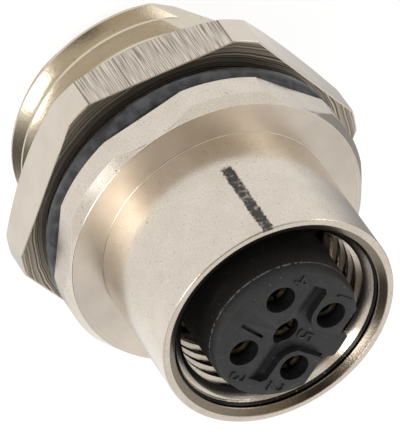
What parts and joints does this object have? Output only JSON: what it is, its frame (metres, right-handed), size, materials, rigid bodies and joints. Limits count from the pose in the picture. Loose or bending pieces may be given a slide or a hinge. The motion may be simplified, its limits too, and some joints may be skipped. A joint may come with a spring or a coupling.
{
  "type": "m12 panel socket",
  "caption": "Round threaded panel socket with a smooth plated sleeve, hex flange, locking nut, rubber seal and a keyed black contact insert.",
  "frame": {"origin": "centre of the housing's wiring end, on the connector's axis, where the part stands", "axes": "+Z along the connector towards the mating end, +X towards the insert's coding key, +Y towards the flat milled along the fixing thread"},
  "size_m": [0.0208, 0.0206, 0.0217],
  "materials": {
    "plated_housing": "turned brass, nickel plated, satin",
    "plated_nut": "milled and turned brass, nickel plated, satin with tool marks",
    "seal_rubber": "moulded rubber, dull black",
    "insert_plastic": "moulded glass-filled plastic, matt dark grey",
    "contact_gold": "turned brass, gold flash, satin"
  },
  "bodies": {
    "housing_body": {"housing": "plated_housing", "panel_seal": "seal_rubber", "contact_insert": "insert_plastic", "insert_seal": "seal_rubber", "contact_holder": "insert_plastic", "retaining_ring": "plated_housing", "contact_1": "contact_gold", "contact_2": "contact_gold", "contact_3": "contact_gold", "contact_4": "contact_gold", "contact_5": "contact_gold"},
    "nut_body": {"hex_nut": "plated_nut"}
  },
  "joints": [
    {"name": "nut_turn", "type": "hinge", "parent": "housing_body", "child": "nut_body", "pos_m": [0, 0, 0.00695], "axis": [0, 0, 1], "continuous": true}
  ]
}
